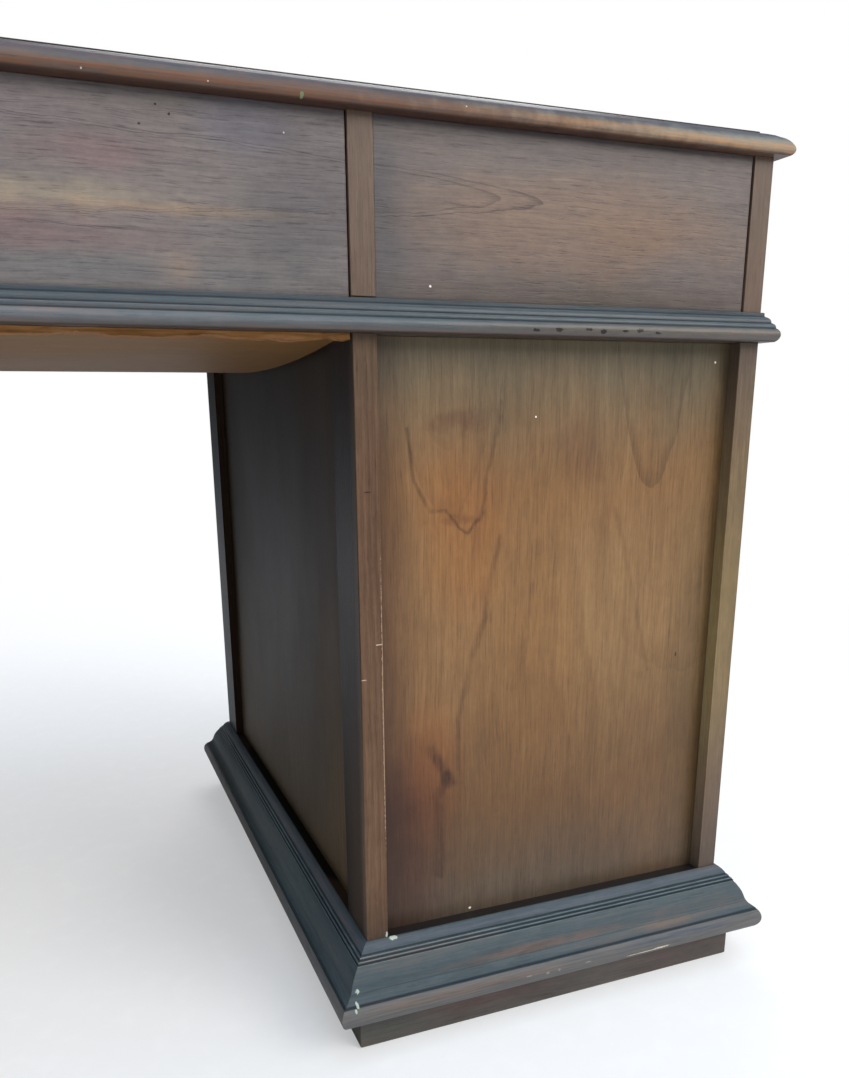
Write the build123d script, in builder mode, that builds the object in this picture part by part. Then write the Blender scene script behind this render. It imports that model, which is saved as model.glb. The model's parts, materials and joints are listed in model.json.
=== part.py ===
"""Double-pedestal writing desk with seven drawers, in millimetres.

The desk stands on the floor at z = 0, centred on the origin. The drawers face -Y and the
panelled back faces +Y. A shallow drawer case lies across two pedestals, with a moulding at
its waist. Each pedestal is a framed and panelled box on a plinth, with a base moulding.
"""

from build123d import *
import os

os.makedirs("parts", exist_ok=True)

# --- overall sizes --------------------------------------------------------------------
case_length = 1348.0  # outside faces of the two end boards
case_depth = 640.0  # front edges to back edges of the boards
desk_height = 758.5
top_thickness = 20.5
case_height = 144.0  # drawer case, from its lower edges to the top's underside
pedestal_width = 368.0

# --- boards and joints ----------------------------------------------------------------
board = 19.0  # end boards, partitions, stiles and drawer fronts
soft_edge = 0.6  # sanded arris on the show edges
glue_line = 0.1  # between pieces glued end to face
groove_depth = 6.0
groove_play = 0.2  # a groove is this much wider and deeper than its panel
dowel_diameter = 8.0
dowel_length = 40.0
dowel_play = 0.1
dowel_end_play = 0.5
dowel_chamfer = 1.0

# --- top ------------------------------------------------------------------------------
top_overhang = 11.7  # nose of the edge beyond the case
edging_inside = 38.0  # inner edge of the edging, inside the case's faces
edging_flat_behind = 12.0  # where the edging is at full height, inside the case's faces

# --- mouldings and plinth -------------------------------------------------------------
waist_height = 24.0
waist_reach = 12.5
waist_notch_play = 1.2  # gap over the moulding where a partition is notched for it
base_height = 62.0
base_reach = 35.0
base_cover = 1.5  # the moulding stands this much over the rails it hides
plinth_height = 35.0
plinth_reach = 12.5
plinth_arris = 1.5

# --- drawer case ----------------------------------------------------------------------
frieze_back_set_back = 1.5  # back boards behind the uprights' back edges
frieze_back_gap = 1.0  # shrinkage at one end of each back board
dust_sheet = 4.0  # plywood sheet that closes the case over the kneehole
kneehole_sag = 14.0  # how far the sheet has bowed down at its middle

# --- pedestals ------------------------------------------------------------------------
stile_width = 55.0
thin_panel = 6.0
side_panel_set_back = 10.0  # panel's face behind the frame's outer face
back_panel_set_back = 14.0  # back panel behind the stiles' back edges
bottom_board = 18.0
rail_thickness = 18.5
rail_width = 60.0
runner_width = 25.0
cleat = 19.0
shallow_opening_height = 153.0

# --- drawers --------------------------------------------------------------------------
drawer_gap = 1.5  # round each drawer front and beside the drawer
run_clearance = 0.3  # under the drawer sides
side_headroom = 6.0
drawer_side = 12.0
drawer_back_gap = 18.0  # behind the drawer at rest
front_rebate = 10.0  # how far the sides are let into the front
bottom_ply = 5.0
bottom_rise = 8.0  # drawer bottom above the lower edge of the sides
bottom_let_in = 5.0
knob_diameter = 34.0
knob_reach = 30.0  # out from the drawer front
knob_spigot = 10.0
knob_spigot_play = 0.1
frieze_knob_up = 0.5  # knob's height as a share of the front's
file_knob_up = 0.72

# --- profiles, drawn at full size -------------------------------------------------------
# Each run is a straight line through its points, or an arc through three of them. The first
# number of a point is the reach out from the face, the second the height above the foot.
base_profile_size = (35.0, 62.0)
base_profile = (
    ("line", ((0, 0), (26.5, 0))),
    ("arc", ((26.5, 0), (35.0, 11.5), (31.8, 21.4))),
    ("line", ((31.8, 21.4), (30.8, 21.6), (30.5, 22.8))),
    ("arc", ((30.5, 22.8), (25.2, 26.9), (22.1, 32.6))),
    ("arc", ((22.1, 32.6), (19.0, 40.6), (13.9, 47.8))),
    ("line", ((13.9, 47.8), (13.9, 49.0), (12.9, 49.2))),
    ("arc", ((12.9, 49.2), (12.4, 50.9), (10.9, 51.3))),
    ("line", ((10.9, 51.3), (10.6, 52.0))),
    ("arc", ((10.6, 52.0), (10.1, 53.6), (8.7, 53.9))),
    ("line", ((8.7, 53.9), (8.3, 54.9))),
    ("arc", ((8.3, 54.9), (5.4, 59.0), (1.4, 62.0))),
    ("line", ((1.4, 62.0), (0, 62.0), (0, 0))),
)
waist_profile_size = (12.5, 24.0)
waist_profile = (
    ("line", ((0, 0), (9.2, 0))),
    ("arc", ((9.2, 0), (12.5, 5.2), (10.3, 10.6))),
    ("line", ((10.3, 10.6), (9.3, 11.2))),
    ("arc", ((9.3, 11.2), (9.0, 13.4), (7.3, 15.0))),
    ("line", ((7.3, 15.0), (6.5, 15.6))),
    ("arc", ((6.5, 15.6), (5.6, 18.6), (3.2, 20.4))),
    ("line", ((3.2, 20.4), (2.2, 21.2), (2.2, 23.4), (1.6, 24.0), (0, 24.0), (0, 0))),
)
edging_profile_size = (11.7, 20.5)
edging_profile = (
    ("line", ((-14.0, 0), (9.0, 0))),
    ("arc", ((9.0, 0), (11.3, 2.2), (11.7, 5.2))),
    ("arc", ((11.7, 5.2), (8.9, 10.2), (3.2, 14.4))),
    ("arc", ((3.2, 14.4), (-2.6, 17.4), (-9.0, 19.0))),
    ("line", ((-9.0, 19.0), (-9.0, 20.1), (-9.4, 20.5), (-14.0, 20.5), (-14.0, 0))),
)
knob_profile_size = (17.0, 30.0)
knob_profile = (
    ("line", ((0, 0), (11.5, 0), (12.5, 1.2), (12.5, 2.6), (11.0, 3.4))),
    ("arc", ((11.0, 3.4), (8.0, 8.6), (9.0, 13.6))),
    ("arc", ((9.0, 13.6), (17.0, 21.0), (9.0, 28.4))),
    ("line", ((9.0, 28.4), (8.0, 30.0), (0, 30.0), (0, 0))),
)

# --- places that follow from the sizes --------------------------------------------------
half_length = case_length / 2
half_depth = case_depth / 2
kneehole_half = half_length - pedestal_width
case_top = desk_height - top_thickness
case_bottom = case_top - case_height
waist_top = case_bottom + waist_height
base_top = plinth_height + base_height
inner_half = half_length - board  # inside face of an end board
partition_outer = kneehole_half + board  # pedestal side of a partition
frieze_back_out = half_depth - frieze_back_set_back
frieze_back_in = frieze_back_out - board
back_panel_out = half_depth - back_panel_set_back
back_panel_in = back_panel_out - thin_panel
rail_back = -half_depth + rail_width
front_inside = -half_depth + board  # inner face of a drawer front
frieze_rail_low = case_bottom + dust_sheet
top_rail_low = case_bottom - rail_thickness
middle_rail_high = top_rail_low - shallow_opening_height
middle_rail_low = middle_rail_high - rail_thickness
dowel_hole = dowel_length / 2 + dowel_end_play
dowel_y = half_depth - stile_width / 2
dowel_x = (inner_half + board / 2, kneehole_half + board / 2)
sides = ((-1, "left"), (1, "right"))


def save(piece, name):
    """Labels a finished piece and writes it to its STEP file."""
    piece.part.label = name
    export_step(piece.part, f"parts/{name}.step")


def block(x, y, z, mode=Mode.ADD):
    """Puts a rectangular block between three (low, high) pairs into the current part."""
    middle = tuple((low + high) / 2 for low, high in (x, y, z))
    size = tuple(high - low for low, high in (x, y, z))
    with Locations(middle):
        Box(*size, mode=mode)


def span(side, near, far):
    """The (low, high) pair between two distances from the middle, on one side of it."""
    return tuple(sorted((side * near, side * far)))


def shrink(pair, amount):
    """The pair with both ends moved inwards."""
    return pair[0] + amount, pair[1] - amount


def outline(runs, drawn_size, reach, height):
    """A closed profile, fitted from the size it is drawn at to its reach and height."""
    across, up = reach / drawn_size[0], height / drawn_size[1]
    with BuildLine() as drawn:
        for kind, points in runs:
            fitted = [(x * across, y * up) for x, y in points]
            if kind == "arc":
                ThreePointArc(*fitted)
            else:
                Polyline(*fitted)
    return drawn.line


def strip_outline(inside, height, behind):
    """A rectangular profile from `behind` to `inside` behind the face."""
    with BuildLine() as drawn:
        Polyline(
            (-inside, 0), (-behind, 0), (-behind, height), (-inside, height), close=True
        )
    return drawn.line


def mitred_length(outlines, foot, outward, run, inside, reach, height):
    """One length of moulding on a face `run` long, mitred at both ends.

    `foot` is the middle of the face's lower edge. The outlines are drawn outwards from the
    face, and cut at 45 degrees through the face's two ends, half a glue line short.
    """
    out = Vector(*outward)
    up = Vector(0, 0, 1)
    half = run / 2 - glue_line / 2
    mitre = (
        (-inside, -(half - inside)),
        (reach, -(half + reach)),
        (reach, half + reach),
        (-inside, half - inside),
    )
    with BuildPart() as length:
        with BuildSketch(Plane(origin=foot, x_dir=out, z_dir=out.cross(up))):
            for drawn in outlines:
                with BuildLine():
                    add(drawn)
                make_face()
        extrude(amount=half + reach, both=True)
        with BuildSketch(Plane(origin=foot, x_dir=out, z_dir=up)):
            with BuildLine():
                Polyline(*mitre, close=True)
            make_face()
        extrude(amount=height, mode=Mode.INTERSECT)
    return length.part


def mitred_frame(outlines, x, y, z, insides, reach, height, behind=0.0):
    """Four mitred lengths round the block between the pairs x and y, in the current part.

    `insides` holds, for the back, front, +x and -x lengths, how deep each is let in, and
    `behind` is how far behind the face its full-height part starts.
    """
    middle_x, middle_y = sum(x) / 2, sum(y) / 2
    along, across = x[1] - x[0], y[1] - y[0]
    faces = (
        ((middle_x, y[1], z), (0, 1, 0), along),
        ((middle_x, y[0], z), (0, -1, 0), along),
        ((x[1], middle_y, z), (1, 0, 0), across),
        ((x[0], middle_y, z), (-1, 0, 0), across),
    )
    for (foot, outward, run), inside in zip(faces, insides):
        drawn = list(outlines)
        if inside > 0:
            drawn.append(strip_outline(inside, height, behind))
        add(mitred_length(drawn, foot, outward, run, inside, reach, height))


# === top ================================================================================


def make_top():
    """A flat panel inside four mitred lengths of thumb-moulded edging."""
    thumb = outline(edging_profile, edging_profile_size, top_overhang, top_thickness)
    with BuildPart() as edging:
        mitred_frame(
            [thumb],
            (-half_length, half_length),
            (-half_depth, half_depth),
            case_top,
            [edging_inside] * 4,
            top_overhang,
            top_thickness,
            edging_flat_behind,
        )
    save(edging, "top_edging")
    with BuildPart() as panel:
        block(
            shrink((-half_length, half_length), edging_inside),
            shrink((-half_depth, half_depth), edging_inside),
            (case_top, desk_height),
        )
    save(panel, "top_panel")


# === drawer case ==========================================================================


def dowel_holes(x, depth):
    """Two blind holes for dowels, up or down from the foot of the drawer case."""
    with Locations((x, -dowel_y, case_bottom), (x, dowel_y, case_bottom)):
        Cylinder(
            dowel_diameter / 2 + dowel_play,
            abs(depth),
            align=(Align.CENTER, Align.CENTER, Align.MIN if depth > 0 else Align.MAX),
            mode=Mode.SUBTRACT,
        )


def make_uprights():
    """The two end boards and the two partitions of the drawer case."""
    uprights = (
        ("end", inner_half, half_length, 0.0),
        ("partition", kneehole_half, partition_outer, waist_notch_play),
    )
    for side, hand in sides:
        for kind, near, far, notch_play in uprights:
            x = span(side, near, far)
            with BuildPart() as upright:
                block(x, (-half_depth, half_depth), (case_bottom, case_top))
                back_edges = upright.edges().filter_by(Axis.Z).group_by(Axis.Y)[-1]
                fillet(back_edges, soft_edge)
                block(
                    x,
                    (frieze_back_out, half_depth),
                    (case_bottom, waist_top + notch_play),
                    mode=Mode.SUBTRACT,
                )
                dowel_holes(sum(x) / 2, dowel_hole)
            save(upright, f"frieze_{kind}_{hand}")


def make_frieze_back():
    """Three back boards between the uprights. Their lower edges are left raw."""
    bays = (
        (-inner_half + frieze_back_gap, -partition_outer),
        (-kneehole_half + frieze_back_gap, kneehole_half),
        (partition_outer, inner_half - frieze_back_gap),
    )
    with BuildPart() as backs:
        for bay in bays:
            block(bay, (frieze_back_in, frieze_back_out), (case_bottom, case_top))
    save(backs, "frieze_back_boards")


def make_frieze_frames():
    """Front rails and runners that carry the three frieze drawers."""
    z = (frieze_rail_low, waist_top)
    bays = (
        (-inner_half, -partition_outer),
        (-kneehole_half, kneehole_half),
        (partition_outer, inner_half),
    )
    runner_y = (rail_back + glue_line, frieze_back_in)
    with BuildPart() as frames:
        for low, high in bays:
            block((low, high), (-half_depth, rail_back), z)
            block((low, low + runner_width), runner_y, z)
            block((high - runner_width, high), runner_y, z)
    save(frames, "frieze_rails_and_runners")


def make_dust_sheet():
    """The thin sheet under the middle drawer, nailed at both ends and bowed down between."""
    front, hang, back = front_inside, rail_back, frieze_back_in
    middle = (hang + back) / 2
    low, high = case_bottom, frieze_rail_low
    with BuildPart() as sheet:
        with BuildSketch(Plane.YZ):
            with BuildLine():
                Line((front, low), (hang, low))
                ThreePointArc((hang, low), (middle, low - kneehole_sag), (back, low))
                Line((back, low), (back, high))
                ThreePointArc((back, high), (middle, high - kneehole_sag), (hang, high))
                Polyline((hang, high), (front, high), (front, low))
            make_face()
        extrude(amount=kneehole_half - groove_play, both=True)
    save(sheet, "kneehole_dust_sheet")


def make_waist_moulding():
    """Four mitred lengths round the foot of the drawer case. The back one is let in."""
    with BuildPart() as moulding:
        mitred_frame(
            [outline(waist_profile, waist_profile_size, waist_reach, waist_height)],
            (-half_length, half_length),
            (-half_depth, half_depth),
            case_bottom,
            [frieze_back_set_back, 0.0, 0.0, 0.0],
            waist_reach,
            waist_height,
        )
    save(moulding, "waist_moulding")


def make_dowels():
    """Eight dowels that locate the drawer case on the stiles of the pedestals."""
    with BuildPart() as dowels:
        for side, hand in sides:
            for x in dowel_x:
                with Locations(
                    (side * x, -dowel_y, case_bottom),
                    (side * x, dowel_y, case_bottom),
                ):
                    Cylinder(dowel_diameter / 2, dowel_length)
        chamfer(dowels.edges().filter_by(GeomType.CIRCLE), dowel_chamfer)
    save(dowels, "locating_dowels")


# === pedestals ============================================================================


def make_side_frame(side, outer, inner):
    """Two stiles and a foot rail. `outer` is the show face's distance from the middle."""
    into = 1 if inner > outer else -1  # from the show face into the pedestal
    x = span(side, outer, inner)
    y_front = (-half_depth, -half_depth + stile_width)
    y_back = (half_depth - stile_width, half_depth)
    between = (y_front[1], y_back[0])
    rail_top = base_top - base_cover
    panel_out = outer + into * side_panel_set_back
    panel_in = panel_out + into * thin_panel
    play = groove_play / 2
    with BuildPart() as frame:
        for y in (y_front, y_back):
            block(x, y, (plinth_height, case_bottom))
        show_edges = frame.edges().filter_by(Axis.Z).group_by(Axis.X)
        fillet(show_edges[-1] if side * into < 0 else show_edges[0], soft_edge)
        block(x, shrink(between, glue_line), (plinth_height, rail_top))
        block(
            span(side, panel_out - into * play, panel_in + into * play),
            shrink(between, -groove_depth),
            (rail_top - groove_depth, case_bottom),
            mode=Mode.SUBTRACT,
        )
        block(
            span(side, inner - into * groove_depth, inner),
            shrink((back_panel_in, back_panel_out), -play),
            (plinth_height, case_bottom),
            mode=Mode.SUBTRACT,
        )
        dowel_holes(sum(x) / 2, -dowel_hole)
    return frame


def make_side_panels(side, faces):
    """The thin panels of both sides of a pedestal, in the grooves of their frames."""
    y = shrink((-half_depth, half_depth), stile_width - groove_depth + groove_play)
    foot = base_top - base_cover - groove_depth + groove_play
    with BuildPart() as panels:
        for outer, inner in faces:
            into = 1 if inner > outer else -1
            near = outer + into * side_panel_set_back
            block(span(side, near, near + into * thin_panel), y, (foot, case_bottom))
    return panels


def make_pedestal(side, hand):
    """The sides, back, plinth and base moulding of one pedestal."""
    outer_side = (half_length, inner_half)
    kneehole_side = (kneehole_half, partition_outer)
    save(make_side_frame(side, *outer_side), f"{hand}_pedestal_outer_side_frame")
    save(make_side_frame(side, *kneehole_side), f"{hand}_pedestal_kneehole_side_frame")
    panels = make_side_panels(side, (outer_side, kneehole_side))
    save(panels, f"{hand}_pedestal_side_panels")

    room = span(side, partition_outer, inner_half)
    with BuildPart() as back:
        block(
            shrink(room, groove_play - groove_depth),
            (back_panel_in, back_panel_out),
            (plinth_height, case_bottom),
        )
    save(back, f"{hand}_pedestal_back_panel")

    x = span(side, kneehole_half, half_length)
    y = (-half_depth, half_depth)
    block_face = (
        ("line", ((-board, 0), (plinth_reach - plinth_arris, 0))),
        ("line", ((plinth_reach - plinth_arris, 0), (plinth_reach, plinth_arris))),
        ("line", ((plinth_reach, plinth_arris), (plinth_reach, plinth_height))),
        ("line", ((plinth_reach, plinth_height), (-board, plinth_height))),
        ("line", ((-board, plinth_height), (-board, 0))),
    )
    with BuildPart() as plinth:
        mitred_frame(
            [outline(block_face, (1, 1), 1, 1)],
            x,
            y,
            0,
            [board] * 4,
            plinth_reach,
            plinth_height,
        )
    save(plinth, f"{hand}_plinth")

    ogee = outline(base_profile, base_profile_size, base_reach, base_height)
    with BuildPart() as moulding:
        mitred_frame([ogee], x, y, plinth_height, [0.0] * 4, base_reach, base_height)
    save(moulding, f"{hand}_base_moulding")


def make_pedestal_insides():
    """Bottom boards, and the rails and runners that carry the drawers, of both pedestals."""
    rooms = [span(side, partition_outer, inner_half) for side, hand in sides]
    with BuildPart() as bottoms:
        for room in rooms:
            block(room, (-half_depth, back_panel_in), (base_top - bottom_board, base_top))
    save(bottoms, "pedestal_bottom_boards")

    top_z = (top_rail_low, case_bottom)
    middle_z = (middle_rail_low, middle_rail_high)
    behind = rail_back + glue_line
    with BuildPart() as rails:
        for room in rooms:
            runners = (
                (room[0], room[0] + runner_width),
                (room[1] - runner_width, room[1]),
            )
            block(room, (-half_depth, rail_back), top_z)
            block(room, (-half_depth, rail_back), middle_z)
            block(room, (back_panel_in - cleat, back_panel_in), top_z)
            block(room, (-half_depth, front_inside), (plinth_height, base_top - bottom_board))
            block(room, (back_panel_out, half_depth), (plinth_height, base_top - base_cover))
            for runner in runners:
                block(runner, (behind, back_panel_in), middle_z)
                block(runner, (behind, back_panel_in - cleat - glue_line), top_z)
    save(rails, "pedestal_rails_and_runners")


# === drawers ================================================================================


def make_drawer(name, x, z, deepest, knob_xs, knob_up):
    """One drawer in the opening between the pairs x and z.

    `deepest` is the y of what stands behind it, and `knob_up` the knobs' height as a share
    of the front's.
    """
    front_x = shrink(x, drawer_gap)
    front_z = shrink(z, drawer_gap)
    side_z = (z[0] + run_clearance, z[1] - side_headroom)
    box_back = deepest - drawer_back_gap
    side_front = front_inside - front_rebate
    sides_x = (
        (front_x[0], front_x[0] + drawer_side),
        (front_x[1] - drawer_side, front_x[1]),
    )
    between = (sides_x[0][1], sides_x[1][0])
    bottom_z = (side_z[0] + bottom_rise, side_z[0] + bottom_rise + bottom_ply)
    groove_z = shrink(bottom_z, -groove_play / 2)
    groove_x = shrink(between, -bottom_let_in - groove_play)
    knob_z = front_z[0] + knob_up * (front_z[1] - front_z[0])
    knobs_at = [Location((knob_x, -half_depth, knob_z), (90, 0, 0)) for knob_x in knob_xs]

    with BuildPart() as front:
        block(front_x, (-half_depth, front_inside), front_z)
        fillet(front.faces().sort_by(Axis.Y)[0].edges(), soft_edge)
        for side_x in sides_x:
            block(side_x, (side_front, front_inside), front_z, mode=Mode.SUBTRACT)
        block(
            groove_x,
            (front_inside - bottom_let_in - groove_play, front_inside),
            groove_z,
            mode=Mode.SUBTRACT,
        )
        with Locations(*knobs_at):
            Cylinder(knob_spigot / 2 + knob_spigot_play, 3 * board, mode=Mode.SUBTRACT)
    save(front, f"{name}_front")

    with BuildPart() as box_sides:
        for side_x in sides_x:
            block(side_x, (side_front, box_back), side_z)
        block(groove_x, (side_front, box_back), groove_z, mode=Mode.SUBTRACT)
    save(box_sides, f"{name}_sides")

    with BuildPart() as back:
        block(between, (box_back - drawer_side, box_back), (bottom_z[1], side_z[1]))
    save(back, f"{name}_back")

    with BuildPart() as bottom:
        block(
            shrink(between, -bottom_let_in),
            (front_inside - bottom_let_in, box_back),
            bottom_z,
        )
    save(bottom, f"{name}_bottom")

    turned = outline(knob_profile, knob_profile_size, knob_diameter / 2, knob_reach)
    with BuildPart() as knob:
        with BuildSketch(Plane.XZ):
            with BuildLine():
                add(turned)
            make_face()
            with Locations((knob_spigot / 4, -board / 2)):
                Rectangle(knob_spigot / 2, board)
        revolve(axis=Axis.Z)
    with BuildPart() as knobs:
        with Locations(*knobs_at):
            add(knob.part)
    save(knobs, f"{name}_knob" if len(knob_xs) == 1 else f"{name}_knobs")


def make_drawers():
    """Three frieze drawers, and a shallow and a file drawer in each pedestal."""
    frieze_z = (waist_top, case_top)
    shallow_z = (middle_rail_high, top_rail_low)
    file_z = (base_top, middle_rail_low)
    make_drawer(
        "centre_drawer",
        (-kneehole_half, kneehole_half),
        frieze_z,
        frieze_back_in,
        (-kneehole_half / 2, kneehole_half / 2),
        frieze_knob_up,
    )
    for side, hand in sides:
        x = span(side, partition_outer, inner_half)
        middle = (sum(x) / 2,)
        bank = (
            ("frieze", frieze_z, frieze_back_in, frieze_knob_up),
            ("shallow", shallow_z, back_panel_in, frieze_knob_up),
            ("file", file_z, back_panel_in, file_knob_up),
        )
        for kind, z, deepest, knob_up in bank:
            make_drawer(f"{hand}_{kind}_drawer", x, z, deepest, middle, knob_up)


make_top()
make_uprights()
make_frieze_back()
make_frieze_frames()
make_dust_sheet()
make_waist_moulding()
make_dowels()
for pedestal_side, pedestal_hand in sides:
    make_pedestal(pedestal_side, pedestal_hand)
make_pedestal_insides()
make_drawers()
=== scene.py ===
# %% [markdown]
# # A double-pedestal writing desk
# The desk is old stained wood: figured veneer on the flat panels, solid mouldings round the
# top, the waist and the foot, and thin bare plywood where nobody looks. This lesson keeps the
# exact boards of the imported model, rounds the arrises of copies of them, and spends most of
# its effort on the finish, because wood is told by its figure, its stain and its wear.

# %% Load the model
import json
import math

import bmesh
import bpy
from mathutils import Matrix, Vector, noise

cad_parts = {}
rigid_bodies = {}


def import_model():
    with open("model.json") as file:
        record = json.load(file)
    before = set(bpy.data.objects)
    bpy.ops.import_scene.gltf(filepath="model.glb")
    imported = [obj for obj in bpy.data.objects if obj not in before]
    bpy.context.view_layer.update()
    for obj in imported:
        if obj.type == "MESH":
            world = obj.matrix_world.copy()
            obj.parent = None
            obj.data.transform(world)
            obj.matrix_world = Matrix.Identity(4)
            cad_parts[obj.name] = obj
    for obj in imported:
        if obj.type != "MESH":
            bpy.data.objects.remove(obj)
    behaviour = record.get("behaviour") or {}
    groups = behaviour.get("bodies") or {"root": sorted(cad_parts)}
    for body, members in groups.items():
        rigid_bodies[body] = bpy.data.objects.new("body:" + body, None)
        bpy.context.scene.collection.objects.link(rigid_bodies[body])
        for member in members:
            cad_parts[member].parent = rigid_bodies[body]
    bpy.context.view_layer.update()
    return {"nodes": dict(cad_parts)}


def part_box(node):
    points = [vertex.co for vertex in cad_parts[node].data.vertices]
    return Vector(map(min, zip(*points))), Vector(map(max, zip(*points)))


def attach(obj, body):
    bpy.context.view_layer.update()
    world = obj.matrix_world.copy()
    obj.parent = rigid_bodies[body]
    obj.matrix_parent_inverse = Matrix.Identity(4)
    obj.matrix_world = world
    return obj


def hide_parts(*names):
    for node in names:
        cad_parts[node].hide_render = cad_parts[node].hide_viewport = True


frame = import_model()
scene = bpy.context.scene
nodes = frame["nodes"]

# %% [markdown]
# ## Camera
# The view is a person's who bends down behind the desk, with a camera held lower than its
# top and tipped down. A camera's matrix holds its right, its up and its backward directions,
# so the three are worked out from where it looks. The tip makes the uprights lean together
# toward the floor. A small upward shift of the lens then brings the desk back to the middle
# of the frame, and it leaves that lean as it is.

# %% Camera
camera_place = Vector((-0.0881, 0.9964, 0.5389))
look_turn, look_tip, look_roll = 0.377, -0.270, -0.008  # radians
lens_mm, film_mm = 30.89, 36.0
lens_shift = (0.0053, 0.1192)

forward = Vector(
    (
        -math.sin(look_turn) * math.cos(look_tip),
        -math.cos(look_turn) * math.cos(look_tip),
        math.sin(look_tip),
    )
)
level = Vector((-math.cos(look_turn), math.sin(look_turn), 0.0))
upright = level.cross(forward)
right = level * math.cos(look_roll) + upright * math.sin(look_roll)
up = -level * math.sin(look_roll) + upright * math.cos(look_roll)
camera = bpy.data.objects.new("camera", bpy.data.cameras.new("camera"))
scene.collection.objects.link(camera)
turned = Matrix((right, up, -forward)).transposed()
camera.matrix_world = Matrix.Translation(camera_place) @ turned.to_4x4()
camera.data.lens = lens_mm
camera.data.sensor_width = film_mm
camera.data.shift_x, camera.data.shift_y = lens_shift
camera.data.clip_start = 0.02
scene.camera = camera
print("camera at", [round(v, 3) for v in camera_place], "with a lens of", lens_mm, "mm")

# %% [markdown]
# ## Nodes by short calls
# A procedural wood needs dozens of nodes. Wiring each by hand hides the idea, so a small
# class adds a node and plugs its inputs in one call. A value may be a number, a colour, a
# socket or another node's output, and each call returns what the next one needs.


# %% Finish, a material wired by short calls
# A Mix node has sockets for every kind of data. These are the ones that carry colours.
MIX_FIRST, MIX_SECOND, MIX_RESULT = 6, 7, 2
COAT_ROUGHNESS = 0.25


class Finish:
    """A node material. Its calls add nodes and return their output sockets."""

    def __init__(self, name):
        self.material = bpy.data.materials.new(name)
        self.material.use_nodes = True
        self.tree = self.material.node_tree
        self.surface = self.tree.nodes["Principled BSDF"]
        self.place = self.add("TexCoord").outputs["Object"]
        self.grit = {}

    def add(self, kind, *sources, **settings):
        node = self.tree.nodes.new("ShaderNode" + kind)
        for key, value in settings.items():
            setattr(node, key, value)
        for socket, value in zip(node.inputs, sources):
            self.plug(socket, value)
        return node

    def plug(self, socket, value):
        if value is None:
            return
        if isinstance(value, bpy.types.NodeSocket):
            self.tree.links.new(value, socket)
        else:
            socket.default_value = value

    def math(self, operation, *values, clamp=False):
        return self.add("Math", *values, operation=operation, use_clamp=clamp).outputs[0]

    def vector(self, operation, *values):
        node = self.add("VectorMath", *values, operation=operation)
        return node.outputs["Value" if operation in ("LENGTH", "DOT_PRODUCT") else "Vector"]

    def stretch(self, grain, *scales):
        scaled = (self.math("MULTIPLY", g, s) for g, s in zip(grain, scales))
        return self.add("CombineXYZ", *scaled).outputs[0]

    def noise(self, vector, scale, detail=2.0, roughness=0.5):
        """A noise about 0, from roughly -0.5 to 0.5."""
        node = self.add("TexNoise")
        inputs = {"Vector": vector, "Scale": scale, "Detail": detail, "Roughness": roughness}
        for name, value in inputs.items():
            self.plug(node.inputs[name], value)
        return self.math("SUBTRACT", node.outputs[0], 0.5)

    def step(self, value, low, high):
        """0 at low and 1 at high, with a smooth passage. High may be under low."""
        node = self.add("MapRange", interpolation_type="SMOOTHSTEP")
        for name, part in (("Value", value), ("From Min", low), ("From Max", high)):
            self.plug(node.inputs[name], part)
        return node.outputs[0]

    def near(self, spot, reach, ragged=0.5, grit=9.0, soft=0.6):
        """1 round a spot, falling to 0 at its reach, with a ragged border.

        `ragged` is how far the border wanders and `soft` how wide it is, in shares of the
        reach. `grit` is how fine its raggedness is.
        """
        away = self.vector("SUBTRACT", self.place, spot)
        away = self.vector("LENGTH", self.vector("MULTIPLY", away, tuple(1.0 / r for r in reach)))
        if ragged:
            if grit not in self.grit:
                self.grit[grit] = self.noise(self.place, grit, 3.0, 0.6)
            away = self.math("MULTIPLY_ADD", self.grit[grit], ragged * 2.0, away)
        return self.step(away, 1.0, 1.0 - soft)

    def mix(self, share, first, second, blend="MIX"):
        node = self.add("Mix", data_type="RGBA", blend_type=blend)
        self.plug(node.inputs["Factor"], share)
        for place, value in ((MIX_FIRST, first), (MIX_SECOND, second)):
            value = (*value, 1.0) if isinstance(value, tuple) else value
            self.plug(node.inputs[place], value)
        return node.outputs[MIX_RESULT]

    def ramp(self, share, stops):
        node = self.add("ValToRGB", share)
        band = node.color_ramp
        while len(band.elements) < len(stops):
            band.elements.new(1.0)
        for element, (place, colour) in zip(band.elements, stops):
            element.position, element.color = place, (*colour, 1.0)
        return node.outputs[0]

    def finish(self, colour, roughness, height, depth, coat=0.0, gloss=0.5):
        self.plug(self.surface.inputs["Base Color"], colour)
        self.plug(self.surface.inputs["Roughness"], roughness)
        self.surface.inputs["Coat Weight"].default_value = coat
        self.surface.inputs["Coat Roughness"].default_value = COAT_ROUGHNESS
        self.surface.inputs["Specular IOR Level"].default_value = gloss
        bump = self.add("Bump")
        bump.inputs["Distance"].default_value = depth
        self.plug(bump.inputs["Height"], height)
        self.plug(self.surface.inputs["Normal"], bump.outputs[0])
        return self.material


print("a finish can be wired")

# %% [markdown]
# ## Which way the grain runs
# Every board has a direction along its fibres, one across its face and one into it. The grain
# could be turned by a Mapping node on each material, but a mitred frame needs two directions
# in one material: its long lengths run one way and its ends the other. So the three distances
# are worked out from the Object coordinates, and a frame swaps them past the mitre line.
# Boards that share a node are each shifted to another part of the trunk.

# %% Grain directions
AXES = {"x": 0, "y": 1, "z": 2}
LENGTHS_APART = 0.9  # how far apart in the trunk the lengths of a mitred frame are cut
BOARDS_APART = 0.61  # and the boards that share a node


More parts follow.
